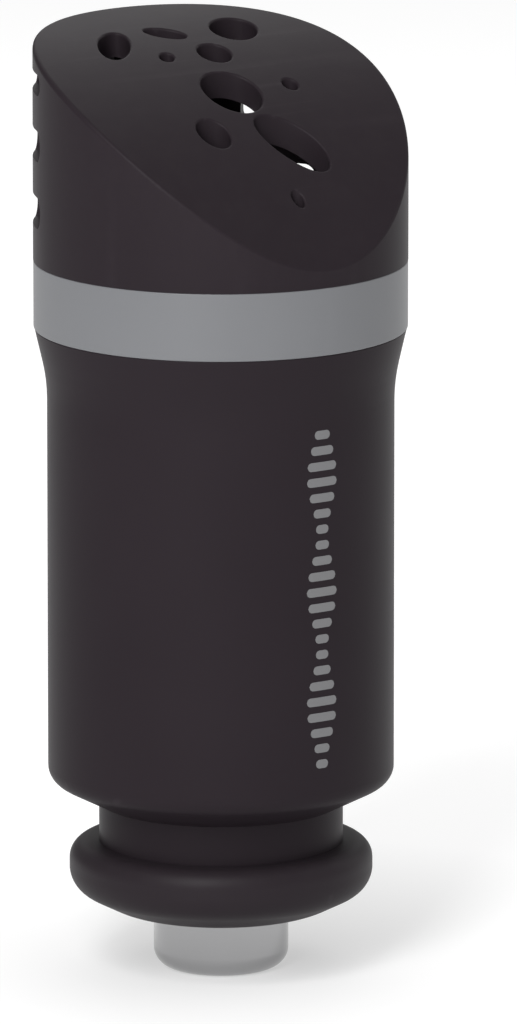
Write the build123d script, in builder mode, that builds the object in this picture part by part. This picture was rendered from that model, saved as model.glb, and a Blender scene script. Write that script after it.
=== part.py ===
"""Upright sensor module: slanted perforated head, grey collar, barrel and plug foot."""
import os
from math import cos, radians, sin, sqrt, tan

from build123d import *

os.makedirs("parts", exist_ok=True)

# ---- driving dimensions, mm -------------------------------------------------
# +Z up, Z = 0 at the flat end of the contact tip, -Y is the low side of the head.
head_r = 20.0            # outer radius of head, collar and mouth of the barrel
wall = 2.56              # shell thickness of the head
body_r = head_r - 1.44   # straight part of the barrel
tip_r = 7.24             # contact tip

foot_z = 6.5             # underside of the foot ring
foot_h = 7.4
neck_h = 4.3
barrel_h = 51.9          # neck shoulder to the collar
collar_h = 7.3

run_gap = 0.05           # radial clearance of a turning or sliding fit
tip_gap = 0.03           # the same for the contact tip in the foot ring
loose_gap = 0.15         # clearance of parts that only drop in place

cone_angle = 27.1        # underside of barrel and foot, above the horizontal
flare_slope = 0.232      # widening of the barrel below the collar

# crown: a cylinder lying along X cuts the head, high at the back
crown_r = 2.535 * head_r
crown_back = 1.105 * head_r    # its axis behind the head's axis
crown_drop = 1.32 * head_r     # and below the collar's top
rim_edge = 0.45
bubble_edge = 0.25

# cells
cell_r = 5.25
cell_len = 44.5
cell_count = 3
spine_r = 2.1
spine_gap = 0.25         # between the spine and each cell
cell_pitch_r = spine_r + spine_gap + cell_r

# screws holding chamber floor and board on the cage
screw_r = 1.0
screw_head_r = 1.9
screw_head_h = 1.0
screw_sink = 0.9         # depth of the recess for each head
screw_socket = 0.6       # depth of the driver socket
screw_count = 3
boss_r = 2.4

# waist, foot and tip, each ring built out from the one inside it
tip_collar_r = tip_r + 1.46
neck_bore_r = tip_collar_r + 0.2
spigot_r = neck_bore_r + 2.1
neck_r = spigot_r + 2.1  # waist between barrel and foot
foot_r = neck_r + 3.18   # rounded foot ring
foot_flat_r = foot_r - 5.18

# ---- levels -----------------------------------------------------------------
neck_z = foot_z + foot_h
shoulder_z = neck_z + neck_h
collar_z = shoulder_z + barrel_h
head_z = collar_z + collar_h
crown_z = head_z - crown_drop
head_top = crown_z + sqrt(crown_r**2 - (crown_back - head_r) ** 2)

# ---- barrel and its screwed joint with the head -------------------------------
lip_r = head_r - 0.1                       # the barrel stands a touch inside the collar
body_corner_z = shoulder_z + (body_r - neck_r) * tan(radians(cone_angle))
flare_z = collar_z - (lip_r - body_r) / flare_slope
skirt_r = head_r - 3.0
skirt_bore_r = skirt_r - 1.8
skirt_len = 13.2                           # below the head's shoulder
skirt_z = head_z - skirt_len
bay_r = body_r - 2.36                      # cell bay
bay_z = shoulder_z + 4.8
socket_z = skirt_z - 0.4                   # counterbore that takes the skirt
neck_ceiling_z = shoulder_z + 1.3
lead_hole_r = 1.5

# ---- foot ---------------------------------------------------------------------
spigot_z = foot_z + 3.1
foot_floor = 2.5
foot_floor_z = foot_z + foot_floor
tip_collar_h = 1.5
tip_edge = 2.1
tip_guide_r = tip_r - 0.5                  # the part that slides in the foot ring
tip_plug_h = foot_z - 0.2                  # bare plug below the foot ring
tip_travel = 1.5
tip_recess = tip_travel + 0.1              # takes the plug when it is pressed in
stem_r = 3.0
seat_t = 0.5
seat_z = neck_ceiling_z - seat_t
tip_wire_r = 0.5
tip_coil_r = 5.6
tip_coils = 4.5
lead_r = 0.6

# ---- stack in the barrel, from the chamber floor down ---------------------------
cage_r = bay_r - loose_gap
cage_top_r = skirt_bore_r - loose_gap
screw_pitch_r = skirt_bore_r - boss_r - 0.4
plate_t = 2.2
cell_gap = 0.8                              # contact pads above the cells
boss_h = 1.1
board_r = skirt_bore_r - 0.3
board_t = 1.0
spacer_h = 1.6
deck_t = 1.4
deck_top_z = head_z + 3.6
deck_z = deck_top_z - deck_t
board_top_z = deck_z - spacer_h
board_z = board_top_z - board_t
cage_top_z = board_z - boss_h
top_plate_z = cage_top_z - plate_t
cell_z = top_plate_z - cell_gap - cell_len
cage_z = bay_z
can_r = 4.1
can_h = 6.4

# ---- rear vents ------------------------------------------------------------------
vent_h = 3.4
vent_pitch = 7.2
vent_low = 4.0                              # first sill above the collar
vent_rows = 3
vent_ceiling = 20.7                         # the top row stops under the roof
vent_inner = (5.5, 22.5)                    # start from the back line and sweep, degrees
vent_outer = (42.4, 28.8)
vent_round = 0.42                           # corner radius as a share of the height


def spaced(radius, count, turn=0.0):
    """Points on a circle, evenly spaced."""
    step = 360.0 / count
    angles = [radians(turn + step * i) for i in range(count)]
    return [(radius * cos(a), radius * sin(a)) for a in angles]


def sector(r_in, r_out, start, turn):
    """Ring sector drawn in the active sketch."""
    with BuildLine() as outline:
        outer = CenterArc((0, 0), r_out, start, turn)
        inner = CenterArc((0, 0), r_in, start, turn)
        Line(outer @ 0, inner @ 0)
        Line(outer @ 1, inner @ 1)
    make_face(outline.edges())


def disc(z, height, radius, hole=0.0):
    """Disc or washer added to the active part."""
    with BuildSketch(Plane.XY.offset(z)) as section:
        Circle(radius)
        if hole:
            Circle(hole, mode=Mode.SUBTRACT)
    extrude(section.sketch, amount=height)


def bore(z, height, radius, points=((0, 0),)):
    """Round holes cut in the active part."""
    with BuildSketch(Plane.XY.offset(z)) as section:
        with Locations(*points):
            Circle(radius)
    extrude(section.sketch, amount=height, mode=Mode.SUBTRACT)


def coil(z, height, radius, wire, turns):
    """Coil spring added to the active part, its wire between z and z + height."""
    with BuildLine() as path:
        rise = height - 2 * wire
        Helix(rise / turns, rise, radius, center=(0, 0, z + wire))
    with BuildSketch(Plane(path.line @ 0, z_dir=path.line % 0)) as section:
        Circle(wire)
    sweep(section.sketch, path=path.line, is_frenet=True)


def crown_face(offset):
    """Side view of everything above the crown, the crown lowered by the offset."""
    with BuildSketch(Plane.YZ) as side:
        with Locations((0, crown_z + 2 * crown_r)):
            Rectangle(6 * head_r, 4 * crown_r)
        with Locations((crown_back, crown_z)):
            Circle(crown_r - offset, mode=Mode.SUBTRACT)
    extrude(side.sketch, amount=2 * head_r, both=True, mode=Mode.SUBTRACT)


def crown_of(part):
    """The outer face of the crown."""
    faces = part.faces().filter_by(GeomType.CYLINDER)
    return faces.filter_by(lambda f: f.radius and abs(f.radius - crown_r) < 1e-3)[0]


def hole_over(part, x, y):
    """The hole in the crown that lies over the point x, y."""
    wires = crown_of(part).inner_wires()
    middles = [wire.bounding_box().center() for wire in wires]
    nearest = min(range(len(wires)), key=lambda i: (middles[i].X - x) ** 2 + (middles[i].Y - y) ** 2)
    return wires[nearest]


# ---- head ---------------------------------------------------------------------
# bubbles through the crown: across, towards the back, length, width, turn
bubbles = [
    (-7.6, 8.9, 7.1, 3.4, 51),
    (-0.1, 10.2, 4.6, 2.4, 145),
    (-3.4, 5.15, 1.9, 1.5, 36),
    (8.3, 9.4, 5.8, 5.0, 35),
    (2.6, 4.9, 3.8, 3.65, 26),
    (0.2, -1.65, 6.6, 6.1, 166),
    (7.8, -1.7, 1.7, 1.65, 0),
    (-5.75, -6.75, 3.7, 3.4, 155),
    (3.0, -8.75, 8.1, 4.6, 134),
    (-0.2, -14.3, 1.4, 1.3, 142),
]

with BuildPart() as chamber:
    disc(deck_top_z, head_top - deck_top_z, head_r - wall)
    crown_face(wall)

with BuildPart() as vents:
    for row in range(vent_rows):
        sill = vent_low + vent_pitch * row
        height = min(vent_h, vent_ceiling - sill)
        with BuildSketch(Plane.XY.offset(head_z + sill)) as openings:
            for start, spread in (vent_inner, vent_outer):
                for first in (90 + start, 90 - start - spread):
                    sector(head_r - wall - 1, head_r + 1, first, spread)
        extrude(openings.sketch, amount=height)
        corners = vents.edges(Select.LAST).filter_by(GeomType.LINE)
        fillet(corners.filter_by(lambda e: abs((e % 0).Z) < 0.1), vent_round * height)

with BuildPart() as head_shell:
    disc(head_z, head_top - head_z + 1, head_r)
    crown_face(0)
    fillet(crown_of(head_shell).edges(), rim_edge)
    for x, y, length, width, turn in bubbles:
        with BuildSketch(Plane.XY.offset(deck_top_z + 0.5)):
            with Locations((x, y)):
                Ellipse(length / 2, width / 2, rotation=turn)
        extrude(amount=head_top, mode=Mode.SUBTRACT)
        fillet(hole_over(head_shell, x, y).edges(), bubble_edge)
    disc(skirt_z, skirt_len, skirt_r)
    bore(skirt_z - 1, deck_top_z - skirt_z + 1.5, skirt_bore_r)
    add(chamber.part, mode=Mode.SUBTRACT)
    add(vents.part, mode=Mode.SUBTRACT)
    with BuildSketch(Plane.XY.offset(skirt_z + 2.2)):
        Circle(skirt_r + 1)
        Circle(skirt_r - 0.9, mode=Mode.SUBTRACT)
    extrude(amount=1.6, mode=Mode.SUBTRACT)

with BuildPart() as head_seal:
    with BuildSketch(Plane.XZ):
        with Locations((skirt_r - 0.35, skirt_z + 3.0)):
            Circle(0.38)
    revolve(axis=Axis.Z)

# ---- collar -------------------------------------------------------------------
with BuildPart() as collar_ring:
    disc(collar_z, collar_h, head_r - 0.02, skirt_r + run_gap)
    fillet(collar_ring.edges().filter_by(GeomType.CIRCLE).filter_by(
        lambda e: e.radius > head_r - 1), 0.15)

# ---- barrel -------------------------------------------------------------------
with BuildPart() as barrel:
    with BuildSketch(Plane.XZ):
        with BuildLine():
            Polyline(
                (0, spigot_z),
                (spigot_r, spigot_z),
                (spigot_r, neck_z),
                (neck_r, neck_z),
                (neck_r, shoulder_z),
                (body_r, body_corner_z),
                (body_r, flare_z),
                (lip_r, collar_z),
                (0, collar_z),
                close=True,
            )
        make_face()
    revolve(axis=Axis.Z)
    rings = barrel.edges().filter_by(GeomType.CIRCLE)
    fillet(rings.filter_by(lambda e: abs(e.center().Z - body_corner_z) < 0.01), 2.0)
    rings = barrel.edges().filter_by(GeomType.CIRCLE)
    fillet(rings.filter_by(lambda e: abs(e.center().Z - flare_z) < 0.01), 19.0)
    rings = barrel.edges().filter_by(GeomType.CIRCLE)
    rims = rings.filter_by(lambda e: abs(e.center().Z - collar_z) < 0.01)
    fillet(rims, 0.12)
    bore(bay_z, collar_z, bay_r)
    bore(socket_z, collar_z, skirt_r + run_gap)
    bore(spigot_z - 1, neck_ceiling_z - spigot_z + 1, neck_bore_r)
    bore(neck_ceiling_z - 1, bay_z - neck_ceiling_z + 2, lead_hole_r)
    with BuildSketch(Plane.XY.offset(spigot_z + 2.0)):
        Circle(spigot_r + 1)
        Circle(spigot_r - 0.9, mode=Mode.SUBTRACT)
    extrude(amount=1.4, mode=Mode.SUBTRACT)

# ---- foot ---------------------------------------------------------------------
foot_corner_z = foot_z + (foot_r - foot_flat_r) * tan(radians(cone_angle))

with BuildPart() as foot_ring:
    with BuildSketch(Plane.XZ):
        with BuildLine():
            Polyline(
                (0, foot_z),
                (foot_flat_r, foot_z),
                (foot_r, foot_corner_z),
                (foot_r, neck_z),
                (0, neck_z),
                close=True,
            )
        make_face()
    revolve(axis=Axis.Z)
    for level, radius, rounding in (
        (neck_z, foot_r, 1.94),
        (foot_corner_z, foot_r, 3.1),
        (foot_z, foot_flat_r, 5.7),
    ):
        rings = foot_ring.edges().filter_by(GeomType.CIRCLE)
        edge = rings.filter_by(
            lambda e: abs(e.center().Z - level) < 0.01 and abs(e.radius - radius) < 0.01
        )
        fillet(edge, rounding)
    bore(foot_floor_z, foot_h, spigot_r)
    bore(foot_z - 1, foot_floor + 2, tip_guide_r + tip_gap)
    bore(foot_z - 1, 1 + tip_recess, tip_r + tip_gap)

with BuildPart() as foot_seal:
    with BuildSketch(Plane.XZ):
        with Locations((spigot_r - 0.45, spigot_z + 2.7)):
            Circle(0.43)
    revolve(axis=Axis.Z)

with BuildPart() as contact_tip:
    disc(0, tip_plug_h, tip_r)
    fillet(contact_tip.edges().group_by(Axis.Z)[0], tip_edge)
    disc(tip_plug_h, foot_floor_z - tip_plug_h, tip_guide_r)
    disc(foot_floor_z, tip_collar_h, tip_collar_r)
    disc(foot_floor_z + tip_collar_h, 3.2, stem_r)
    chamfer(contact_tip.edges().group_by(Axis.Z)[-1], 0.5)

spring_z = foot_floor_z + tip_collar_h
with BuildPart() as tip_spring:
    coil(spring_z, seat_z - spring_z, tip_coil_r, tip_wire_r, tip_coils)

with BuildPart() as spring_seat:
    disc(seat_z, seat_t, neck_bore_r - loose_gap, lead_r)

with BuildPart() as tip_lead:
    disc(seat_z, board_z - seat_z, lead_r)

# ---- cell cage ------------------------------------------------------------------
cells_at = spaced(cell_pitch_r, cell_count, 90)
posts_at = spaced(screw_pitch_r, screw_count, 30)

with BuildPart() as cell_cage:
    disc(cage_z, plate_t, cage_r)
    disc(top_plate_z, plate_t, cage_top_r)
    disc(cage_z, cage_top_z - cage_z, spine_r)
    with BuildSketch(Plane.XY.offset(cage_z)):
        with Locations(*posts_at):
            Circle(boss_r)
    extrude(amount=board_z - cage_z)
    bore(cage_z - 1, board_z - cage_z + 2, lead_r + 0.3)
    bore(cage_z + 0.6, plate_t, cell_r - 0.6, cells_at)
    bore(top_plate_z - 1, plate_t, cell_r - 0.6, cells_at)
    bore(top_plate_z, board_z, screw_r, posts_at)

cells = []
for x, y in cells_at:
    with BuildPart() as cell:
        with BuildSketch(Plane.XY.offset(cell_z)):
            with Locations((x, y)):
                Circle(cell_r)
        extrude(amount=cell_len - 1.0)
        fillet(cell.edges().filter_by(GeomType.CIRCLE), 0.4)
        with BuildSketch(Plane.XY.offset(cell_z + cell_len - 1.0)):
            with Locations((x, y)):
                Circle(1.9)
        extrude(amount=1.0)
    cells.append(cell)

cell_floor_z = cage_z + 0.6
cell_ceiling_z = top_plate_z + plate_t - 1
with BuildPart() as one_cell_spring:
    coil(cell_floor_z, cell_z - cell_floor_z, 3.2, 0.3, 4)

with BuildPart() as cell_springs:
    with Locations(*[(x, y, 0) for x, y in cells_at]):
        add(one_cell_spring.part)

with BuildPart() as cell_pads:
    with BuildSketch(Plane.XY.offset(cell_z + cell_len)):
        with Locations(*cells_at):
            Circle(cell_r - 0.7)
    extrude(amount=cell_ceiling_z - cell_z - cell_len)

# ---- board, floor of the chamber and sensor ---------------------------------------
with BuildPart() as main_board:
    disc(board_z, board_t, board_r)
    bore(board_z - 1, board_t + 2, screw_r + 0.1, posts_at)

with BuildPart() as controller_chip:
    with BuildSketch(Plane.XY.offset(board_top_z)):
        with Locations((-8.4, 0)):
            Rectangle(5.0, 5.0)
    extrude(amount=0.9)
    chamfer(controller_chip.edges().group_by(Axis.Z)[-1], 0.2)

with BuildPart() as passive_parts:
    with BuildSketch(Plane.XY.offset(board_top_z)):
        for side in (1, -1):
            with Locations((-5.6, side * 7.6)):
                with GridLocations(2.6, 0, 2, 1):
                    Rectangle(1.0, 1.8)
        with Locations((9.2, 0)):
            with GridLocations(0, 2.2, 1, 3):
                Rectangle(2.0, 1.25)
    extrude(amount=0.8)

with BuildPart() as deck:
    disc(deck_z, deck_t, skirt_bore_r - 2 * run_gap)
    with BuildSketch(Plane.XY.offset(board_top_z)):
        with Locations(*posts_at):
            Circle(boss_r)
    extrude(amount=spacer_h)
    bore(board_top_z - 1, deck_top_z, screw_r + 0.1, posts_at)
    bore(deck_top_z - screw_sink, deck_t, screw_head_r + loose_gap, posts_at)
    bore(deck_z - 1, deck_t + 2, can_r + loose_gap)

screw_seat_z = deck_top_z - screw_sink
with BuildPart() as deck_screws:
    with BuildSketch(Plane.XY.offset(top_plate_z + 0.5)):
        with Locations(*posts_at):
            Circle(screw_r)
    extrude(amount=screw_seat_z - top_plate_z - 0.5)
    with BuildSketch(Plane.XY.offset(screw_seat_z)):
        with Locations(*posts_at):
            Circle(screw_head_r)
    extrude(amount=screw_head_h)
    fillet(deck_screws.edges().group_by(Axis.Z)[-1], 0.3)
    with BuildSketch(Plane.XY.offset(screw_seat_z + screw_head_h - screw_socket)):
        with Locations(*posts_at):
            RegularPolygon(0.85, 6)
    extrude(amount=screw_head_h, mode=Mode.SUBTRACT)

with BuildPart() as sensor_can:
    disc(board_top_z, 0.6, can_r)
    disc(board_top_z + 0.6, can_h - 0.6, can_r - 0.4)
    fillet(sensor_can.edges().group_by(Axis.Z)[-1], 0.5)
    bore(board_top_z + can_h - 1.0, 1.1, can_r - 1.3)

with BuildPart() as sensor_filter:
    disc(board_top_z + can_h - 1.0, 0.8, can_r - 1.3)

# ---- output -------------------------------------------------------------------
pieces = {
    "head_shell": head_shell,
    "head_seal": head_seal,
    "collar_ring": collar_ring,
    "barrel": barrel,
    "foot_ring": foot_ring,
    "foot_seal": foot_seal,
    "contact_tip": contact_tip,
    "tip_spring": tip_spring,
    "spring_seat": spring_seat,
    "tip_lead": tip_lead,
    "cell_cage": cell_cage,
    "cell_rear": cells[0],
    "cell_left": cells[1],
    "cell_right": cells[2],
    "cell_springs": cell_springs,
    "cell_pads": cell_pads,
    "main_board": main_board,
    "controller_chip": controller_chip,
    "passive_parts": passive_parts,
    "deck": deck,
    "deck_screws": deck_screws,
    "sensor_can": sensor_can,
    "sensor_filter": sensor_filter,
}

for name, piece in pieces.items():
    piece.part.label = name
    export_step(piece.part, f"parts/{name}.step")
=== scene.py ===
import math

import bmesh
import bpy
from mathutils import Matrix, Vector


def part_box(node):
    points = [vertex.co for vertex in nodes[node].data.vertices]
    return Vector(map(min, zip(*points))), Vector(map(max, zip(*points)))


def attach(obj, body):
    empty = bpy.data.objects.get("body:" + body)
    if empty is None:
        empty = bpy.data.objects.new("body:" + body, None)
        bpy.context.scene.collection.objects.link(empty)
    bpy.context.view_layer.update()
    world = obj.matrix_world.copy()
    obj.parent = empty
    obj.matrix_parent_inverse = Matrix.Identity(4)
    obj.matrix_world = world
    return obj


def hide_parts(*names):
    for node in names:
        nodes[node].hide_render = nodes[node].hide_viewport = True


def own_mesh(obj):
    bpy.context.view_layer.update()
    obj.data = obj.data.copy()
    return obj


bl_info = {
    "name": "Vented sensor module",
    "version": (1, 0, 0),
    "blender": (4, 5, 0),
    "location": "View3D > Sidebar > Module",
    "description": "Moulded head, collar, barrel, foot and contact tip of an upright sensor module",
    "category": "Object",
}

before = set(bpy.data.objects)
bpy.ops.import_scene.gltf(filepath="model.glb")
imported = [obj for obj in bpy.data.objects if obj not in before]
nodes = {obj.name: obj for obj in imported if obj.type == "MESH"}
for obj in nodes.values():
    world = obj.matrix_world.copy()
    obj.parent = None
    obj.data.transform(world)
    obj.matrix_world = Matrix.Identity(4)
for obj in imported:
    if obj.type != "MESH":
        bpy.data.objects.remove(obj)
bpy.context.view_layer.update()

MM = 0.001
BARREL_RADIUS = 18.56 * MM                  # straight part of the barrel
TIP_WIRE_RADIUS = 0.5 * MM
CELL_WIRE_RADIUS = 0.3 * MM
GAUZE_WIRE_RADIUS = 0.06 * MM


# ---- shader node groups -------------------------------------------------------

def new_group(name, inputs, outputs):
    """Empty shader node group with named sockets."""
    tree = bpy.data.node_groups.new(name, "ShaderNodeTree")
    for label, kind, default in inputs:
        socket = tree.interface.new_socket(label, in_out="INPUT", socket_type=kind)
        socket.default_value = default
    for label, kind in outputs:
        tree.interface.new_socket(label, in_out="OUTPUT", socket_type=kind)
    return tree, tree.nodes.new("NodeGroupInput"), tree.nodes.new("NodeGroupOutput")


def math_node(tree, operation, *values, clamp=False):
    """Math node with sockets or numbers as its inputs; returns its output."""
    node = tree.nodes.new("ShaderNodeMath")
    node.operation = operation
    node.use_clamp = clamp
    for place, value in enumerate(values):
        if isinstance(value, (int, float)):
            node.inputs[place].default_value = value
        else:
            tree.links.new(value, node.inputs[place])
    return node.outputs[0]


def noise_node(tree, vector, scale, detail=2.0, roughness=0.5):
    """Noise texture; scale is a socket or a number. Returns its factor."""
    node = tree.nodes.new("ShaderNodeTexNoise")
    node.inputs["Detail"].default_value = detail
    node.inputs["Roughness"].default_value = roughness
    tree.links.new(vector, node.inputs["Vector"])
    if isinstance(scale, (int, float)):
        node.inputs["Scale"].default_value = scale
    else:
        tree.links.new(scale, node.inputs["Scale"])
    return node.outputs["Fac"]


def moulded_grain_group():
    """Spark-eroded mould texture: fine pits on a slight large-scale waviness."""
    tree, given, result = new_group(
        "moulded_grain",
        [("Vector", "NodeSocketVector", (0, 0, 0)), ("Pit Scale", "NodeSocketFloat", 2600.0),
         ("Wave Scale", "NodeSocketFloat", 60.0), ("Wave Amount", "NodeSocketFloat", 0.15)],
        [("Height", "NodeSocketFloat"), ("Shade", "NodeSocketFloat")],
    )
    pits = noise_node(tree, given.outputs["Vector"], given.outputs["Pit Scale"], 3.0, 0.6)
    waves = noise_node(tree, given.outputs["Vector"], given.outputs["Wave Scale"], 2.0)
    lifted = math_node(tree, "MULTIPLY", waves, given.outputs["Wave Amount"])
    tree.links.new(math_node(tree, "ADD", pits, lifted), result.inputs["Height"])
    tree.links.new(waves, result.inputs["Shade"])
    return tree


def rubbed_lit_edges_group():
    """Mask that is bright on sharp convex edges, broken up by noise; it marks edge wear and a painted
    highlight on the edges.
    """
    tree, given, result = new_group(
        "rubbed_lit_edges",
        [("Vector", "NodeSocketVector", (0, 0, 0)), ("Breakup", "NodeSocketFloat", 900.0)],
        [("Mask", "NodeSocketFloat")],
    )
    flat_level, contrast = 0.52, 14.0
    geometry = tree.nodes.new("ShaderNodeNewGeometry")
    pointy = math_node(tree, "SUBTRACT", geometry.outputs["Pointiness"], flat_level)
    steep = math_node(tree, "MULTIPLY", pointy, contrast, clamp=True)
    rough = noise_node(tree, given.outputs["Vector"], given.outputs["Breakup"], 4.0, 0.65)
    broken = math_node(tree, "MULTIPLY", steep, rough, clamp=True)
    tree.links.new(broken, result.inputs["Mask"])
    return tree


def dust_group():
    """Thin settled dust on faces that look up."""
    tree, given, result = new_group(
        "settled_dust",
        [("Vector", "NodeSocketVector", (0, 0, 0)), ("Scale", "NodeSocketFloat", 420.0)],
        [("Mask", "NodeSocketFloat")],
    )
    geometry = tree.nodes.new("ShaderNodeNewGeometry")
    split = tree.nodes.new("ShaderNodeSeparateXYZ")
    tree.links.new(geometry.outputs["Normal"], split.inputs[0])
    up = math_node(tree, "MAXIMUM", split.outputs["Z"], 0.0)
    specks = noise_node(tree, given.outputs["Vector"], given.outputs["Scale"], 5.0, 0.7)
    fine = math_node(tree, "SUBTRACT", specks, 0.42, clamp=True)
    tree.links.new(math_node(tree, "MULTIPLY", up, fine, clamp=True), result.inputs["Mask"])
    return tree


def turned_lines_group():
    """Lathe marks round the Z axis, on walls and on end faces."""
    tree, given, result = new_group(
        "turned_lines",
        [("Vector", "NodeSocketVector", (0, 0, 0)), ("Lines per Metre", "NodeSocketFloat", 9000.0)],
        [("Height", "NodeSocketFloat"), ("Shade", "NodeSocketFloat")],
    )
    split = tree.nodes.new("ShaderNodeSeparateXYZ")
    tree.links.new(given.outputs["Vector"], split.inputs[0])
    x, y = split.outputs["X"], split.outputs["Y"]
    square = math_node(tree, "ADD", math_node(tree, "MULTIPLY", x, x), math_node(tree, "MULTIPLY", y, y))
    radius = math_node(tree, "SQRT", square)
    path = math_node(tree, "ADD", radius, split.outputs["Z"])
    scaled = math_node(tree, "MULTIPLY", path, given.outputs["Lines per Metre"])
    along = tree.nodes.new("ShaderNodeCombineXYZ")
    tree.links.new(scaled, along.inputs["X"])
    grooves = noise_node(tree, along.outputs[0], 1.0, 3.0, 0.6)
    tree.links.new(grooves, result.inputs["Height"])
    tree.links.new(grooves, result.inputs["Shade"])
    return tree


groups = {}


def group(name):
    """Shared group, built the first time it is asked for."""
    makers = {
        "moulded_grain": moulded_grain_group,
        "rubbed_lit_edges": rubbed_lit_edges_group,
        "settled_dust": dust_group,
        "turned_lines": turned_lines_group,
    }
    if name not in groups:
        groups[name] = makers[name]()
    return groups[name]


# ---- materials ------------------------------------------------------------------

def blank_material(name, metallic=0.0, specular=0.5):
    """Material with a Principled shader; returns material, tree, shader, object coordinates."""
    material = bpy.data.materials.new(name)
    material.use_nodes = True
    tree = material.node_tree
    shader = tree.nodes["Principled BSDF"]
    shader.inputs["Metallic"].default_value = metallic
    shader.inputs["Specular IOR Level"].default_value = specular
    place = tree.nodes.new("ShaderNodeTexCoord")
    return material, tree, shader, place.outputs["Object"]


def use_group(tree, name, vector):
    """Places a shared group in a material."""
    node = tree.nodes.new("ShaderNodeGroup")
    node.node_tree = group(name)
    tree.links.new(vector, node.inputs["Vector"])
    return node


def mix_colour(tree, factor, first, second):
    """Colour mixed by a factor socket; colours are sockets or RGB."""
    node = tree.nodes.new("ShaderNodeMix")
    node.data_type = "RGBA"
    tree.links.new(factor, node.inputs["Factor"])
    for place, value in (("A", first), ("B", second)):
        socket = [s for s in node.inputs if s.name == place and s.type == "RGBA"][0]
        if isinstance(value, (tuple, list)):
            socket.default_value = (*value[:3], 1.0)
        else:
            tree.links.new(value, socket)
    return [s for s in node.outputs if s.type == "RGBA"][0]


def set_range(tree, value, low, high):
    """Maps a 0..1 socket to low..high."""
    node = tree.nodes.new("ShaderNodeMapRange")
    node.inputs["To Min"].default_value = low
    node.inputs["To Max"].default_value = high
    tree.links.new(value, node.inputs["Value"])
    return node.outputs["Result"]


def add_bump(tree, shader, height, distance):
    """Bump feeding the shader's normal."""
    bump = tree.nodes.new("ShaderNodeBump")
    bump.inputs["Distance"].default_value = distance
    tree.links.new(height, bump.inputs["Height"])
    tree.links.new(bump.outputs["Normal"], shader.inputs["Normal"])


def moulded_plastic(name, colour, rough=(0.43, 0.49), rub_and_highlight=0.25, specular=0.06):
    """Injection-moulded plastic with mould grain, edges lightened partly as wear and partly as a painted
    highlight, and a trace of dust.
    """
    material, tree, shader, place = blank_material(name, specular=specular)
    grain = use_group(tree, "moulded_grain", place)
    edges = use_group(tree, "rubbed_lit_edges", place)
    film = use_group(tree, "settled_dust", place)
    light = tuple(c * 1.12 + 0.0004 for c in colour)
    tone = mix_colour(tree, grain.outputs["Shade"], tuple(c * 0.95 for c in colour), light)
    # convex edges lightened in the base colour: partly rubbed wear, partly a painted highlight on the
    # edges and hole rims
    rubbed_and_lit = math_node(tree, "MULTIPLY", edges.outputs["Mask"], rub_and_highlight)
    tone = mix_colour(tree, rubbed_and_lit, tone, tuple(min(1.0, c * 2.2 + 0.02) for c in colour))
    dusted = math_node(tree, "MULTIPLY", film.outputs["Mask"], 0.02)
    tone = mix_colour(tree, dusted, tone, (0.42, 0.4, 0.38))
    tree.links.new(tone, shader.inputs["Base Color"])
    tree.links.new(set_range(tree, grain.outputs["Shade"], *rough), shader.inputs["Roughness"])
    add_bump(tree, shader, grain.outputs["Height"], 0.005 * MM)
    return material


def turned_metal(name, colour):
    """Lathe-turned metal, satin, with fine rings."""
    material, tree, shader, place = blank_material(name, metallic=1.0)
    rings = use_group(tree, "turned_lines", place)
    tone = mix_colour(tree, rings.outputs["Shade"], tuple(c * 0.86 for c in colour), colour)
    tree.links.new(tone, shader.inputs["Base Color"])
    tree.links.new(set_range(tree, rings.outputs["Shade"], 0.14, 0.26), shader.inputs["Roughness"])
    add_bump(tree, shader, rings.outputs["Height"], 0.004 * MM)
    return material


def plain_finish(name, colour, rough, metallic=0.0, spread=0.12, scale=400.0):
    """One colour with slight blotches and uneven gloss, for small parts and ink."""
    material, tree, shader, place = blank_material(name, metallic=metallic)
    blotch = noise_node(tree, place, scale, 4.0, 0.6)
    dark = tuple(c * (1 - spread) for c in colour)
    pale = tuple(min(1.0, c * (1 + spread)) for c in colour)
    tree.links.new(mix_colour(tree, blotch, dark, pale), shader.inputs["Base Color"])
    gloss = set_range(tree, blotch, rough * 0.85, min(1.0, rough * 1.15))
    tree.links.new(gloss, shader.inputs["Roughness"])
    add_bump(tree, shader, blotch, 0.003 * MM)
    return material


def sleeved_cell(name):
    """Small round cell: bare steel at both ends, coloured sleeve with a pale band."""
    bare_base, bare_cap = 0.7 * MM, 1.6 * MM
    band_low, band_high = 12 * MM, 9 * MM
    material, tree, shader, place = blank_material(name)
    low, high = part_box("cell_rear")
    split = tree.nodes.new("ShaderNodeSeparateXYZ")
    tree.links.new(place, split.inputs[0])
    height = split.outputs["Z"]
    above = math_node(tree, "GREATER_THAN", height, low[2] + bare_base)
    below = math_node(tree, "LESS_THAN", height, high[2] - bare_cap)
    sleeve = math_node(tree, "MULTIPLY", above, below)
    over = math_node(tree, "GREATER_THAN", height, high[2] - band_low)
    under = math_node(tree, "LESS_THAN", height, high[2] - band_high)
    band = math_node(tree, "MULTIPLY", over, under)
    blotch = noise_node(tree, place, 500.0, 4.0, 0.6)
    wrap = mix_colour(tree, blotch, (0.03, 0.07, 0.13), (0.04, 0.09, 0.16))
    wrap = mix_colour(tree, band, wrap, (0.55, 0.56, 0.54))
    steel = mix_colour(tree, blotch, (0.5, 0.5, 0.5), (0.6, 0.6, 0.59))
    tree.links.new(mix_colour(tree, sleeve, steel, wrap), shader.inputs["Base Color"])
    tree.links.new(set_range(tree, sleeve, 1.0, 0.0), shader.inputs["Metallic"])
    tree.links.new(set_range(tree, blotch, 0.26, 0.36), shader.inputs["Roughness"])
    add_bump(tree, shader, blotch, 0.003 * MM)
    return material


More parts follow.
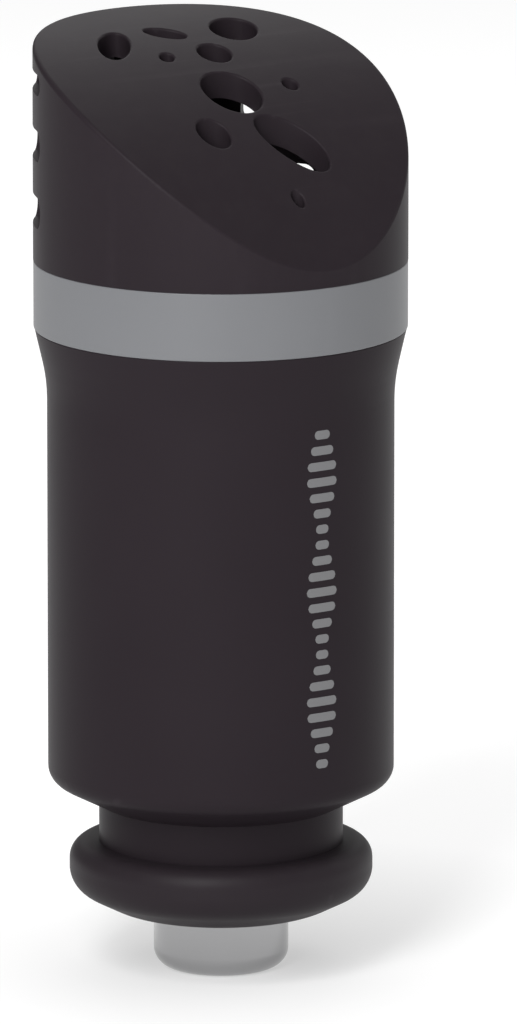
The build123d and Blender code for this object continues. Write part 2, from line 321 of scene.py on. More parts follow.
def etched_board(name):
    """Green solder mask over copper tracks, with tinned dots."""
    material, tree, shader, place = blank_material(name)
    tracks = tree.nodes.new("ShaderNodeTexBrick")
    tracks.inputs["Scale"].default_value = 420.0
    tracks.inputs["Mortar Size"].default_value = 0.035
    tracks.inputs["Brick Width"].default_value = 0.9
    tracks.inputs["Row Height"].default_value = 0.3
    tree.links.new(place, tracks.inputs["Vector"])
    dots = tree.nodes.new("ShaderNodeTexVoronoi")
    dots.inputs["Scale"].default_value = 520.0
    dots.inputs["Randomness"].default_value = 0.7
    tree.links.new(place, dots.inputs["Vector"])
    tinned = math_node(tree, "LESS_THAN", dots.outputs["Distance"], 0.14)
    mask = mix_colour(tree, tracks.outputs["Fac"], (0.006, 0.075, 0.028), (0.012, 0.13, 0.045))
    tree.links.new(mix_colour(tree, tinned, mask, (0.6, 0.6, 0.57)), shader.inputs["Base Color"])
    tree.links.new(tinned, shader.inputs["Metallic"])
    tree.links.new(set_range(tree, tracks.outputs["Fac"], 0.35, 0.28), shader.inputs["Roughness"])
    add_bump(tree, shader, tracks.outputs["Fac"], 0.02 * MM)
    return material


def dress(name, material):
    """Gives a CAD node one material in every slot."""
    node = nodes[name]
    if not node.material_slots:
        node.data.materials.append(material)
    for slot in node.material_slots:
        slot.material = material


# ---- pieces grown by geometry nodes ----------------------------------------------

def new_tree(name, inputs):
    """Geometry tree with named inputs and a Material input."""
    tree = bpy.data.node_groups.new(name, "GeometryNodeTree")
    for label, kind, default in inputs:
        tree.interface.new_socket(label, in_out="INPUT", socket_type=kind).default_value = default
    tree.interface.new_socket("Material", in_out="INPUT", socket_type="NodeSocketMaterial")
    tree.interface.new_socket("Geometry", in_out="OUTPUT", socket_type="NodeSocketGeometry")
    return tree, tree.nodes.new("NodeGroupInput").outputs


def step(tree, kind, result=0, settings=None, **inputs):
    """Adds a node, fills its inputs with sockets or values, returns one output."""
    node = tree.nodes.new(kind)
    for label, value in (settings or {}).items():
        setattr(node, label, value)
    for label, value in inputs.items():
        socket = node.inputs[label.replace("_", " ")]
        if isinstance(value, bpy.types.NodeSocket):
            tree.links.new(value, socket)
        else:
            socket.default_value = value
    return node.outputs[result]


def join(tree, *parts):
    """Joins several geometries."""
    node = tree.nodes.new("GeometryNodeJoinGeometry")
    for part in parts:
        tree.links.new(part, node.inputs[0])
    return node.outputs[0]


def finish_tree(tree, given, geometry):
    """Realizes the instances and sets the material."""
    plain = step(tree, "GeometryNodeRealizeInstances", Geometry=geometry)
    painted = step(tree, "GeometryNodeSetMaterial", Geometry=plain, Material=given["Material"])
    tree.links.new(painted, tree.nodes.new("NodeGroupOutput").inputs["Geometry"])
    return tree


def vector(tree, x=0.0, y=0.0, z=0.0):
    """Vector from three sockets or numbers."""
    return step(tree, "ShaderNodeCombineXYZ", X=x, Y=y, Z=z)


def grow(name, tree, body, material, **values):
    """Runs a geometry tree once and keeps its result as a plain mesh on a body."""
    piece = bpy.data.objects.new(name, bpy.data.meshes.new(name))
    bpy.context.scene.collection.objects.link(piece)
    modifier = piece.modifiers.new("tree", "NODES")
    modifier.node_group = tree
    wanted = {label.replace("_", " "): value for label, value in values.items()}
    wanted["Material"] = material
    for item in tree.interface.items_tree:
        if item.item_type == "SOCKET" and item.in_out == "INPUT" and item.name in wanted:
            modifier[item.identifier] = wanted[item.name]
    depsgraph = bpy.context.evaluated_depsgraph_get()
    mesh = bpy.data.meshes.new_from_object(piece.evaluated_get(depsgraph))
    piece.modifiers.remove(modifier)
    piece.data = mesh
    if not mesh.vertices:
        raise RuntimeError(name + " came out empty")
    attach(piece, body)
    return piece


def printed_bars_tree():
    """Column of rounded ink bars wrapped on a barrel, their widths rising and falling."""
    tree, given = new_tree("printed_bars", [
        ("Radius", "NodeSocketFloat", 18.56 * MM), ("Low", "NodeSocketFloat", 25 * MM),
        ("Pitch", "NodeSocketFloat", 1.7 * MM), ("Count", "NodeSocketInt", 22),
        ("Bar Width", "NodeSocketFloat", 3.9 * MM), ("Bar Height", "NodeSocketFloat", 1.0 * MM),
        ("Narrowest", "NodeSocketFloat", 0.4), ("Waves", "NodeSocketFloat", 3.0),
        ("Ink", "NodeSocketFloat", 0.03 * MM),
    ])
    # a point for each bar, which carries the share of the full width that its bar has
    index = step(tree, "GeometryNodeInputIndex")
    spot = step(tree, "GeometryNodeMeshLine", Count=given["Count"], Offset=vector(tree, y=given["Pitch"]))
    turn = math_node(tree, "DIVIDE", math_node(tree, "MULTIPLY", index, given["Waves"]), given["Count"])
    swing = math_node(tree, "SINE", math_node(tree, "MULTIPLY", turn, math.pi))
    share = math_node(tree, "MULTIPLY", swing, swing)
    spare = math_node(tree, "SUBTRACT", 1.0, given["Narrowest"])
    width = math_node(tree, "ADD", given["Narrowest"], math_node(tree, "MULTIPLY", share, spare))
    kept = tree.nodes.new("GeometryNodeStoreNamedAttribute")
    kept.data_type = "FLOAT"
    kept.domain = "POINT"
    kept.inputs["Name"].default_value = "width"
    tree.links.new(spot, kept.inputs["Geometry"])
    tree.links.new(width, kept.inputs["Value"])

    # a flat sheet on each point, which remembers its own coordinates from -1 to 1
    sheet = step(tree, "GeometryNodeMeshGrid", Size_X=2.0, Size_Y=2.0, Vertices_X=33, Vertices_Y=5)
    local = tree.nodes.new("GeometryNodeCaptureAttribute")
    local.capture_items.new("VECTOR", "Local")
    tree.links.new(sheet, local.inputs["Geometry"])
    tree.links.new(step(tree, "GeometryNodeInputPosition"), local.inputs["Local"])
    placed = step(tree, "GeometryNodeInstanceOnPoints", Points=kept.outputs[0],
                  Instance=local.outputs["Geometry"])
    loose = step(tree, "GeometryNodeRealizeInstances", Geometry=placed)
    split = tree.nodes.new("ShaderNodeSeparateXYZ")
    tree.links.new(local.outputs["Local"], split.inputs[0])

    # the outline of a bar: straight edges with half-round ends
    read = tree.nodes.new("GeometryNodeInputNamedAttribute")
    read.data_type = "FLOAT"
    read.inputs["Name"].default_value = "width"
    full = math_node(tree, "MULTIPLY", read.outputs[0], given["Bar Width"])
    half = math_node(tree, "MULTIPLY", full, 0.5)
    tall = math_node(tree, "MULTIPLY", given["Bar Height"], 0.5)
    across = math_node(tree, "MULTIPLY", split.outputs["X"], half)
    straight = math_node(tree, "SUBTRACT", half, tall)
    past = math_node(tree, "SUBTRACT", math_node(tree, "ABSOLUTE", across), straight)
    ratio = math_node(tree, "DIVIDE", math_node(tree, "MAXIMUM", past, 0.0), tall)
    square = math_node(tree, "MULTIPLY", ratio, ratio)
    room = math_node(tree, "MAXIMUM", math_node(tree, "SUBTRACT", 1.0, square), 0.0)
    bow = math_node(tree, "SQRT", room)
    up = math_node(tree, "MULTIPLY", math_node(tree, "MULTIPLY", split.outputs["Y"], tall), bow)

    # the height of the bar's own point: its place less the sheet's coordinates
    place = step(tree, "GeometryNodeInputPosition")
    gap = step(tree, "ShaderNodeVectorMath", settings={"operation": "SUBTRACT"})
    tree.links.new(place, gap.node.inputs[0])
    tree.links.new(local.outputs["Local"], gap.node.inputs[1])
    row = tree.nodes.new("ShaderNodeSeparateXYZ")
    tree.links.new(gap, row.inputs[0])
    level = math_node(tree, "ADD", math_node(tree, "ADD", row.outputs["Y"], given["Low"]), up)

    # bars wrapped round the front of the barrel and thickened to a film of ink
    angle = math_node(tree, "DIVIDE", across, given["Radius"])
    x = math_node(tree, "MULTIPLY", math_node(tree, "SINE", angle), given["Radius"])
    y = math_node(tree, "MULTIPLY", math_node(tree, "COSINE", angle), given["Radius"])
    front = math_node(tree, "MULTIPLY", y, -1.0)
    wrapped = step(tree, "GeometryNodeSetPosition", Geometry=loose,
                   Position=vector(tree, x, front, level))
    under = step(tree, "GeometryNodeFlipFaces", Mesh=wrapped)
    film = tree.nodes.new("GeometryNodeExtrudeMesh")
    film.inputs["Individual"].default_value = False
    tree.links.new(wrapped, film.inputs["Mesh"])
    tree.links.new(given["Ink"], film.inputs["Offset Scale"])
    whole = step(tree, "GeometryNodeMergeByDistance", Geometry=join(tree, film.outputs[0], under),
                 Distance=0.002 * MM)
    return finish_tree(tree, given, whole)


def ribs_tree():
    """Ring of radial ribs with rounded tops."""
    tree, given = new_tree("radial_ribs", [
        ("Count", "NodeSocketInt", 18), ("Inner", "NodeSocketFloat", 5.2 * MM),
        ("Length", "NodeSocketFloat", 4.0 * MM), ("Width", "NodeSocketFloat", 0.6 * MM),
        ("Height", "NodeSocketFloat", 0.5 * MM), ("Level", "NodeSocketFloat", 0.0),
    ])
    index = step(tree, "GeometryNodeInputIndex")
    middle = math_node(tree, "ADD", given["Inner"], math_node(tree, "MULTIPLY", given["Length"], 0.5))
    ring = step(tree, "GeometryNodeMeshCircle", Vertices=given["Count"], Radius=middle)
    half = math_node(tree, "MULTIPLY", given["Length"], 0.5)
    spine = step(tree, "GeometryNodeCurvePrimitiveLine",
                 Start=vector(tree, x=math_node(tree, "MULTIPLY", half, -1.0)), End=vector(tree, x=half))
    outline = step(tree, "GeometryNodeCurvePrimitiveQuadrilateral",
                   Width=given["Height"], Height=given["Width"])
    outline = step(tree, "GeometryNodeFilletCurve", settings={"mode": "POLY"}, Curve=outline,
                   Radius=math_node(tree, "MULTIPLY", given["Height"], 0.35))
    outline.node.inputs["Count"].default_value = 3
    rib = step(tree, "GeometryNodeCurveToMesh", Curve=spine, Profile_Curve=outline, Fill_Caps=True)
    spread = math_node(tree, "DIVIDE", 2 * math.pi, given["Count"])
    turn = math_node(tree, "MULTIPLY", index, spread)
    ribs = step(tree, "GeometryNodeInstanceOnPoints", Points=ring, Instance=rib,
                Rotation=vector(tree, z=turn))
    lifted = step(tree, "GeometryNodeTransform", Geometry=ribs,
                  Translation=vector(tree, z=given["Level"]))
    return finish_tree(tree, given, lifted)


def gauze_tree():
    """Round piece of square wire gauze."""
    tree, given = new_tree("wire_gauze", [
        ("Radius", "NodeSocketFloat", 2.7 * MM), ("Wires", "NodeSocketInt", 13),
        ("Wire Radius", "NodeSocketFloat", 0.06 * MM), ("Level", "NodeSocketFloat", 0.0),
    ])
    pitch = math_node(tree, "DIVIDE", math_node(tree, "MULTIPLY", given["Radius"], 2.0), given["Wires"])
    edge = math_node(tree, "SUBTRACT", math_node(tree, "MULTIPLY", pitch, 0.5), given["Radius"])
    row = step(tree, "GeometryNodeMeshLine", Count=given["Wires"], Start_Location=vector(tree, x=edge),
               Offset=vector(tree, x=pitch))
    place = tree.nodes.new("ShaderNodeSeparateXYZ")
    tree.links.new(step(tree, "GeometryNodeInputPosition"), place.inputs[0])
    reach = math_node(tree, "MULTIPLY", given["Radius"], given["Radius"])
    used = math_node(tree, "MULTIPLY", place.outputs["X"], place.outputs["X"])
    left = math_node(tree, "MAXIMUM", math_node(tree, "SUBTRACT", reach, used), 0.0)
    half = math_node(tree, "SQRT", left)
    chord = step(tree, "GeometryNodeCurvePrimitiveLine", Start=(0, -1, 0), End=(0, 1, 0))
    chords = step(tree, "GeometryNodeInstanceOnPoints", Points=row, Instance=chord,
                  Scale=vector(tree, 1.0, half, 1.0))
    paths = step(tree, "GeometryNodeRealizeInstances", Geometry=chords)
    outline = step(tree, "GeometryNodeCurvePrimitiveCircle", Resolution=8, Radius=given["Wire Radius"])
    warp = step(tree, "GeometryNodeCurveToMesh", Curve=paths, Profile_Curve=outline, Fill_Caps=True)
    weft = step(tree, "GeometryNodeTransform", Geometry=warp, Rotation=(0, 0, math.pi / 2),
                Translation=vector(tree, z=given["Wire Radius"]))
    lifted = step(tree, "GeometryNodeTransform", Geometry=join(tree, warp, weft),
                  Translation=vector(tree, z=given["Level"]))
    return finish_tree(tree, given, lifted)


def coils_tree():
    """Coil springs with closed ends, standing evenly round the Z axis."""
    tree, given = new_tree("coil_springs", [
        ("Count", "NodeSocketInt", 1), ("Pitch Radius", "NodeSocketFloat", 0.0),
        ("Phase", "NodeSocketFloat", 0.0), ("Coil Radius", "NodeSocketFloat", 5.6 * MM),
        ("Wire Radius", "NodeSocketFloat", 0.5 * MM), ("Turns", "NodeSocketFloat", 4.5),
        ("Height", "NodeSocketFloat", 8.5 * MM), ("Level", "NodeSocketFloat", 0.0),
    ])
    wires = math_node(tree, "MULTIPLY", given["Wire Radius"], 2.0)
    rise = math_node(tree, "SUBTRACT", given["Height"], wires)
    helix = step(tree, "GeometryNodeCurveSpiral", Resolution=40, Rotations=given["Turns"],
                 Start_Radius=given["Coil Radius"], End_Radius=given["Coil Radius"], Height=rise)
    lower = step(tree, "GeometryNodeCurvePrimitiveCircle", Resolution=40, Radius=given["Coil Radius"])
    upper = step(tree, "GeometryNodeTransform", Geometry=lower, Translation=vector(tree, z=rise))
    outline = step(tree, "GeometryNodeCurvePrimitiveCircle", Resolution=12, Radius=given["Wire Radius"])
    wire = step(tree, "GeometryNodeCurveToMesh", Curve=join(tree, helix, lower, upper),
                Profile_Curve=outline, Fill_Caps=True)
    smooth = step(tree, "GeometryNodeSetShadeSmooth", Geometry=wire)
    index = step(tree, "GeometryNodeInputIndex")
    share = math_node(tree, "DIVIDE", index, given["Count"])
    angle = math_node(tree, "ADD", math_node(tree, "MULTIPLY", share, 2 * math.pi), given["Phase"])
    x = math_node(tree, "MULTIPLY", math_node(tree, "COSINE", angle), given["Pitch Radius"])
    y = math_node(tree, "MULTIPLY", math_node(tree, "SINE", angle), given["Pitch Radius"])
    row = step(tree, "GeometryNodeMeshLine", Count=given["Count"])
    base = math_node(tree, "ADD", given["Level"], given["Wire Radius"])
    spots = step(tree, "GeometryNodeSetPosition", Geometry=row, Position=vector(tree, x, y, base))
    springs = step(tree, "GeometryNodeInstanceOnPoints", Points=spots, Instance=smooth)
    return finish_tree(tree, given, springs)


def chip_legs_tree():
    """Bent legs along the four sides of a square chip."""
    tree, given = new_tree("chip_legs", [
        ("Legs per Side", "NodeSocketInt", 6), ("Pitch", "NodeSocketFloat", 0.7 * MM),
        ("Half Side", "NodeSocketFloat", 2.5 * MM), ("Reach", "NodeSocketFloat", 0.45 * MM),
        ("Rise", "NodeSocketFloat", 0.4 * MM), ("Leg Width", "NodeSocketFloat", 0.3 * MM),
        ("Centre", "NodeSocketVector", (0, 0, 0)),
    ])
    gaps = math_node(tree, "SUBTRACT", given["Legs per Side"], 1.0)
    span = math_node(tree, "MULTIPLY", gaps, given["Pitch"])
    start = math_node(tree, "MULTIPLY", span, -0.5)
    row = step(tree, "GeometryNodeMeshLine", Count=given["Legs per Side"],
               Start_Location=vector(tree, y=start), Offset=vector(tree, y=given["Pitch"]))
    thick = math_node(tree, "MULTIPLY", given["Rise"], 0.3)
    low = math_node(tree, "MULTIPLY", thick, 0.5)
    tip = math_node(tree, "ADD", given["Half Side"], given["Reach"])
    bend = math_node(tree, "ADD", given["Half Side"], math_node(tree, "MULTIPLY", given["Reach"], 0.45))
    inner = math_node(tree, "SUBTRACT", given["Half Side"], 0.05 * MM)
    top = step(tree, "GeometryNodeCurvePrimitiveLine", Start=vector(tree, inner, 0.0, given["Rise"]),
               End=vector(tree, bend, 0.0, low))
    sole = step(tree, "GeometryNodeCurvePrimitiveLine", Start=vector(tree, bend, 0.0, low),
                End=vector(tree, tip, 0.0, low))
    outline = step(tree, "GeometryNodeCurvePrimitiveQuadrilateral", Width=given["Leg Width"], Height=thick)
    leg = step(tree, "GeometryNodeCurveToMesh", Curve=join(tree, top, sole), Profile_Curve=outline,
               Fill_Caps=True)
    side = step(tree, "GeometryNodeInstanceOnPoints", Points=row, Instance=leg)
    sides = [side] + [
        step(tree, "GeometryNodeTransform", Geometry=side, Rotation=(0, 0, quarter * math.pi / 2))
        for quarter in (1, 2, 3)
    ]
    placed = step(tree, "GeometryNodeTransform", Geometry=join(tree, *sides), Translation=given["Centre"])
    return finish_tree(tree, given, placed)


def capped_blocks(name, boxes, cap, bevel):
    """Ceramic chip parts: a body and two end caps each; the caps take the second slot."""
    shape = bmesh.new()
    for low, high in boxes:
        size = high - low
        along = 0 if size.x > size.y else 1
        for first, last, grown, slot in ((cap, 1 - cap, 0.92, 0), (0, cap, 1, 1), (1 - cap, 1, 1, 1)):
            made = bmesh.ops.create_cube(shape, size=1.0)["verts"]
            scale = size.copy()
            scale *= grown
            scale[along] = size[along] * (last - first)
            centre = (low + high) / 2
            centre[along] = low[along] + size[along] * (first + last) / 2
            centre.z = low.z + scale.z / 2
            for vert in made:
                vert.co = Vector(vert.co[i] * scale[i] + centre[i] for i in range(3))
            for face in {face for vert in made for face in vert.link_faces}:
                face.material_index = slot
    bmesh.ops.bevel(shape, geom=list(shape.edges), offset=bevel, segments=2, affect="EDGES")
    mesh = bpy.data.meshes.new(name)
    shape.to_mesh(mesh)
    shape.free()
    piece = bpy.data.objects.new(name, mesh)
    bpy.context.scene.collection.objects.link(piece)
    return piece


def loose_boxes(name):
    """Boxes of the separate solids of a CAD node."""
    shape = bmesh.new()
    shape.from_mesh(nodes[name].data)
    bmesh.ops.remove_doubles(shape, verts=shape.verts, dist=0.001 * MM)
    left = set(shape.verts)
    boxes = []
    for seed in list(shape.verts):
        if seed not in left:
            continue
        island, queue = [], [seed]
        left.discard(seed)
        while queue:
            vert = queue.pop()
            island.append(vert.co.copy())
            for edge in vert.link_edges:
                other = edge.other_vert(vert)
                if other in left:
                    left.discard(other)
                    queue.append(other)
        low = Vector(min(point[i] for point in island) for i in range(3))
        high = Vector(max(point[i] for point in island) for i in range(3))
        boxes.append((low, high))
    shape.free()
    return boxes


# ---- properties -------------------------------------------------------------------

class ShellSettings(bpy.types.PropertyGroup):
    shell_colour: bpy.props.FloatVectorProperty(
        name="Shell", description="Colour of head, barrel and foot", subtype="COLOR", size=3,
        default=(0.0168, 0.0127, 0.0157), min=0, max=1)
    collar_colour: bpy.props.FloatVectorProperty(
        name="Collar", description="Colour of the collar", subtype="COLOR", size=3,
        default=(0.138, 0.141, 0.149), min=0, max=1)
    print_colour: bpy.props.FloatVectorProperty(
        name="Print", description="Colour of the printed bars", subtype="COLOR", size=3,
        default=(0.135, 0.135, 0.14), min=0, max=1)
    tip_colour: bpy.props.FloatVectorProperty(
        name="Tip", description="Colour of the metal tip", subtype="COLOR", size=3,
        default=(0.38, 0.38, 0.385), min=0, max=1)


class PrintSettings(bpy.types.PropertyGroup):
    low: bpy.props.FloatProperty(
        name="Low end", description="Height of the lowest printed bar", subtype="DISTANCE",
        unit="LENGTH", default=25.6 * MM)
    pitch: bpy.props.FloatProperty(
        name="Pitch", description="Distance between printed bars", subtype="DISTANCE",
        unit="LENGTH", default=1.7 * MM)
    count: bpy.props.IntProperty(name="Bars", description="Number of printed bars", default=22, min=1)
    width: bpy.props.FloatProperty(
        name="Width", description="Width of the widest bar", subtype="DISTANCE",
        unit="LENGTH", default=3.9 * MM)
    height: bpy.props.FloatProperty(
        name="Height", description="Height of each bar", subtype="DISTANCE",
        unit="LENGTH", default=0.95 * MM)


class StageSettings(bpy.types.PropertyGroup):
    glow_near: bpy.props.FloatProperty(
        name="Glow start", description="Distance at which the floor starts to glow more",
        subtype="DISTANCE", unit="LENGTH", default=0.01)
    glow_far: bpy.props.FloatProperty(
        name="Glow end", description="Distance at which the floor glows fully",
        subtype="DISTANCE", unit="LENGTH", default=0.06)
    lean: bpy.props.FloatProperty(
        name="Lean", description="How much stronger the fill is on the right", default=0.42)
    fill: bpy.props.FloatProperty(
        name="Fill", description="Strength of the light from all round", default=0.4, min=0)
    azimuth: bpy.props.FloatProperty(
        name="Azimuth", description="Camera direction round the object", subtype="ANGLE",
        default=math.radians(-35.5))
    elevation: bpy.props.FloatProperty(
        name="Elevation", description="Camera height above the horizon", subtype="ANGLE",
        default=math.radians(12.0))
    distance: bpy.props.FloatProperty(
        name="Distance", description="Camera distance", subtype="DISTANCE", unit="LENGTH", default=1.5211)
    lens: bpy.props.FloatProperty(
        name="Lens", description="Focal length in millimetres", default=500.0, min=10)
    aim_height: bpy.props.FloatProperty(
        name="Aim height", description="Height that the camera looks at", subtype="DISTANCE",
        unit="LENGTH", default=0.04974)
    aim_side: bpy.props.FloatProperty(
        name="Aim side", description="Sideways shift of the aim", subtype="DISTANCE",
        unit="LENGTH", default=0.004027)


# ---- operators ---------------------------------------------------------------------

class MODULE_OT_shell(bpy.types.Operator):
    """Finish the head, barrel, foot ring and collar"""
    bl_idname = "module.shell"
    bl_label = "Shell"

    def execute(self, context):
        settings = context.scene.module_shell
        shell, collar = tuple(settings.shell_colour), tuple(settings.collar_colour)
        black = moulded_plastic("shell_black", shell)
        satin = moulded_plastic("foot_black", shell, rough=(0.48, 0.54), specular=0.12)
        grey = moulded_plastic("collar_grey", collar, rough=(0.4, 0.46), rub_and_highlight=0.1, specular=0.28)
        dress("head_shell", black)
        dress("barrel", black)
        dress("foot_ring", satin)
        dress("collar_ring", grey)
        return {"FINISHED"}


class MODULE_OT_print(bpy.types.Operator):
    """Print the column of bars on the low side of the barrel"""
    bl_idname = "module.print"
    bl_label = "Print"

    def execute(self, context):
        layout = context.scene.module_print
        colour = tuple(context.scene.module_shell.print_colour)
        ink = plain_finish("print_grey", colour, 0.5, spread=0.05)
        grow("barrel_print", printed_bars_tree(), "barrel", ink, Radius=BARREL_RADIUS, Low=layout.low,
             Pitch=layout.pitch, Count=layout.count, Bar_Width=layout.width, Bar_Height=layout.height)
        return {"FINISHED"}


class MODULE_OT_tip(bpy.types.Operator):
    """Finish the contact tip and its spring"""
    bl_idname = "module.tip"
    bl_label = "Contact tip"

    def execute(self, context):
        settings = context.scene.module_shell
        dress("contact_tip", turned_metal("tip_metal", tuple(settings.tip_colour)))
        wire = plain_finish("spring_steel", (0.5, 0.5, 0.51), 0.28, metallic=1.0, scale=2500.0)
        low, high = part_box("tip_spring")
        length = high[2] - low[2]
        coil = grow("tip_coil", coils_tree(), "barrel", wire, Level=low[2], Height=length,
                    Wire_Radius=TIP_WIRE_RADIUS, Coil_Radius=high[0] - TIP_WIRE_RADIUS)
        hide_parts("tip_spring")
        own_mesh(coil)
        dress("spring_seat", turned_metal("seat_brass", (0.72, 0.56, 0.3)))
        dress("tip_lead", plain_finish("lead_red", (0.35, 0.02, 0.02), 0.5))
        return {"FINISHED"}


class MODULE_OT_inside(bpy.types.Operator):
    """Finish the cells, board, deck and sensor"""
    bl_idname = "module.inside"
    bl_label = "Inside"

    def execute(self, context):
        rubber = plain_finish("seal_rubber", (0.02, 0.02, 0.02), 0.7)
        for name in ("head_seal", "foot_seal"):
            dress(name, rubber)
        dress("cell_cage", moulded_plastic("cage_plastic", (0.03, 0.03, 0.034)))
        sleeve = sleeved_cell("cell_sleeve")
        for name in ("cell_rear", "cell_left", "cell_right"):
            dress(name, sleeve)
        steel = plain_finish("screw_steel", (0.4, 0.4, 0.41), 0.35, metallic=1.0)
        tin = plain_finish("tinned_metal", (0.62, 0.62, 0.6), 0.35, metallic=1.0)
        low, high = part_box("cell_springs")
        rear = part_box("cell_rear")
        wire = plain_finish("cell_spring_steel", (0.6, 0.6, 0.6), 0.3, metallic=1.0, scale=2500.0)
        coils = grow("cell_coils", coils_tree(), "barrel", wire, Count=3, Phase=math.pi / 2,
                     Pitch_Radius=(rear[0][1] + rear[1][1]) / 2, Coil_Radius=3.2 * MM,
                     Wire_Radius=CELL_WIRE_RADIUS, Turns=4.0, Level=low[2], Height=high[2] - low[2])
        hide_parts("cell_springs")
        dress("cell_pads", plain_finish("pad_brass", (0.75, 0.6, 0.32), 0.3, metallic=1.0))
        dress("main_board", etched_board("board_green"))
        dress("controller_chip", plain_finish("chip_black", (0.015, 0.015, 0.016), 0.5))
        deck_black = moulded_plastic("deck_black", (0.016, 0.015, 0.016))
        dress("deck", deck_black)
        dress("deck_screws", steel)
        dress("sensor_can", plain_finish("can_metal", (0.3, 0.3, 0.3), 0.35, metallic=1.0))
        dress("sensor_filter", plain_finish("filter_white", (0.5, 0.5, 0.48), 0.9))

        chips = capped_blocks("chip_parts", loose_boxes("passive_parts"), 0.24, 0.05 * MM)
        ceramic = plain_finish("ceramic_brown", (0.2, 0.13, 0.08), 0.5)
        for material in (ceramic, tin):
            chips.data.materials.append(material)
        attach(chips, "barrel")
        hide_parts("passive_parts")

        low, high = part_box("controller_chip")
        centre = ((low[0] + high[0]) / 2, (low[1] + high[1]) / 2, low[2])
        grow("chip_legs", chip_legs_tree(), "barrel", tin, Centre=centre, Half_Side=(high[0] - low[0]) / 2)

        floor_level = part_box("deck")[1][2]
        grow("deck_ribs", ribs_tree(), "barrel", deck_black, Level=floor_level)

        low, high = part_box("sensor_filter")
        edge_gap = 0.05 * MM
        grow("sensor_gauze", gauze_tree(), "barrel", tin, Level=high[2] + GAUZE_WIRE_RADIUS,
             Wire_Radius=GAUZE_WIRE_RADIUS, Radius=(high[0] - low[0]) / 2 - edge_gap)
        return {"FINISHED"}


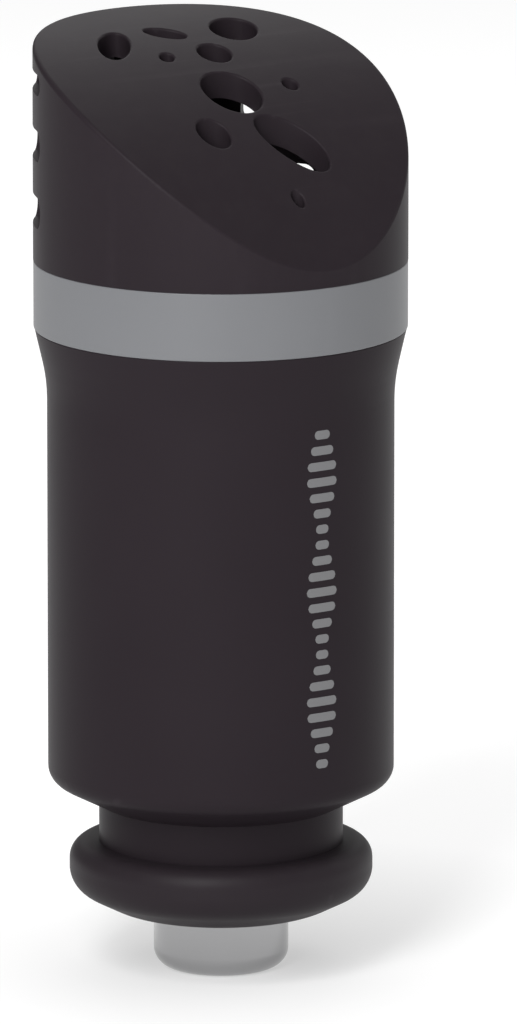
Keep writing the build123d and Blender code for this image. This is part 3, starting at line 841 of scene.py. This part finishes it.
class MODULE_OT_stage(bpy.types.Operator):
    """Floor, studio light and camera"""
    bl_idname = "module.stage"
    bl_label = "Stage"

    def execute(self, context):
        stage = context.scene.module_stage
        mesh = bpy.data.meshes.new("floor")
        half = 40.0
        corners = [(-half, -half, 0), (half, -half, 0), (half, half, 0), (-half, half, 0)]
        mesh.from_pydata(corners, [], [(0, 1, 2, 3)])
        floor = bpy.data.objects.new("floor", mesh)
        context.scene.collection.objects.link(floor)
        material, tree, shader, place = blank_material("floor_white", specular=0.0)
        shader.inputs["Roughness"].default_value = 0.9
        tone = noise_node(tree, place, 2.0)
        paint = mix_colour(tree, tone, (0.49, 0.49, 0.49), (0.51, 0.51, 0.51))
        tree.links.new(paint, shader.inputs["Base Color"])
        # painted light: the floor glows by emission though it is no lamp, weaker near the object and
        # stronger further out, so it paints a contact shadow round the foot and lifts the cast shadow
        # further away
        reach = tree.nodes.new("ShaderNodeVectorMath")
        reach.operation = "LENGTH"
        tree.links.new(place, reach.inputs[0])
        spread = tree.nodes.new("ShaderNodeMapRange")
        spread.inputs["From Min"].default_value = stage.glow_near
        spread.inputs["From Max"].default_value = stage.glow_far
        tree.links.new(reach.outputs["Value"], spread.inputs["Value"])
        glow = mix_colour(tree, spread.outputs["Result"], (0.44, 0.44, 0.44), (0.67, 0.67, 0.67))
        tree.links.new(glow, shader.inputs["Emission Color"])
        shader.inputs["Emission Strength"].default_value = 1.0
        mesh.materials.append(material)

        world = bpy.data.worlds.new("studio")
        world.use_nodes = True
        sky = world.node_tree
        sky.nodes["Background"].inputs["Color"].default_value = (1, 1, 1, 1)
        sight = sky.nodes.new("ShaderNodeLightPath").outputs["Is Camera Ray"]
        side = sky.nodes.new("ShaderNodeVectorMath")
        side.operation = "DOT_PRODUCT"
        side.inputs[1].default_value = (math.cos(stage.azimuth), math.sin(stage.azimuth), 0)
        sky.links.new(sky.nodes.new("ShaderNodeTexCoord").outputs["Generated"], side.inputs[0])
        tilt = math_node(sky, "MULTIPLY", side.outputs["Value"], stage.lean * stage.fill)
        fill = math_node(sky, "ADD", tilt, stage.fill)
        seen = math_node(sky, "MAXIMUM", fill, sight)
        sky.links.new(seen, sky.nodes["Background"].inputs["Strength"])
        context.scene.world = world
        context.scene.view_settings.view_transform = "Standard"

        right = Vector((math.cos(stage.azimuth), math.sin(stage.azimuth), 0))
        level = Vector((math.sin(stage.azimuth), -math.cos(stage.azimuth), 0))
        back = level * math.cos(stage.elevation) + Vector((0, 0, math.sin(stage.elevation)))
        aim = Vector((0, 0, stage.aim_height)) + right * stage.aim_side

        def softbox(name, side, rise, toward, width, height, power):
            """Area light beside, above and in front of the aim, turned to the object's middle."""
            data = bpy.data.lights.new(name, "AREA")
            data.shape = "RECTANGLE"
            data.size, data.size_y = width, height
            data.energy = power
            lamp = bpy.data.objects.new(name, data)
            lamp.location = aim + right * side + Vector((0, 0, rise)) + back * toward
            lamp.rotation_mode = "QUATERNION"
            away = lamp.location - Vector((0, 0, 50 * MM))
            lamp.rotation_quaternion = away.to_track_quat("Z", "Y")
            lamp.visible_camera = False
            context.scene.collection.objects.link(lamp)

        softbox("key", side=-0.18, rise=0.26, toward=0.52, width=0.2, height=0.5, power=4.5)
        softbox("rim", side=0.45, rise=0.2, toward=-0.4, width=0.3, height=0.5, power=0.3)
        softbox("back", side=0.0, rise=0.42, toward=-0.4, width=0.4, height=0.4, power=0.6)

        data = bpy.data.cameras.new("camera")
        data.lens = stage.lens
        data.sensor_width = 36.0
        data.clip_start, data.clip_end = 0.01, 200.0
        camera = bpy.data.objects.new("camera", data)
        camera.location = aim + back * stage.distance
        camera.rotation_mode = "QUATERNION"
        camera.rotation_quaternion = back.to_track_quat("Z", "Y")
        context.scene.collection.objects.link(camera)
        context.scene.camera = camera
        return {"FINISHED"}


class MODULE_PT_panel(bpy.types.Panel):
    bl_label = "Vented sensor module"
    bl_idname = "MODULE_PT_panel"
    bl_space_type = "VIEW_3D"
    bl_region_type = "UI"
    bl_category = "Module"

    def draw(self, context):
        layout = self.layout
        scene = context.scene
        for settings in (scene.module_shell, scene.module_print, scene.module_stage):
            box = layout.box()
            for label in settings.__annotations__:
                box.prop(settings, label)
        for operator in OPERATORS:
            layout.operator(operator.bl_idname)


OPERATORS = (MODULE_OT_shell, MODULE_OT_print, MODULE_OT_tip, MODULE_OT_inside, MODULE_OT_stage)
CLASSES = (ShellSettings, PrintSettings, StageSettings, *OPERATORS, MODULE_PT_panel)


def register():
    for entry in CLASSES:
        bpy.utils.register_class(entry)
    bpy.types.Scene.module_shell = bpy.props.PointerProperty(type=ShellSettings)
    bpy.types.Scene.module_print = bpy.props.PointerProperty(type=PrintSettings)
    bpy.types.Scene.module_stage = bpy.props.PointerProperty(type=StageSettings)


def unregister():
    del bpy.types.Scene.module_shell
    del bpy.types.Scene.module_print
    del bpy.types.Scene.module_stage
    for entry in reversed(CLASSES):
        bpy.utils.unregister_class(entry)


def main():
    register()
    bpy.ops.module.shell()
    bpy.ops.module.print()
    bpy.ops.module.tip()
    bpy.ops.module.inside()
    bpy.ops.module.stage()


if __name__ == "__main__":
    main()
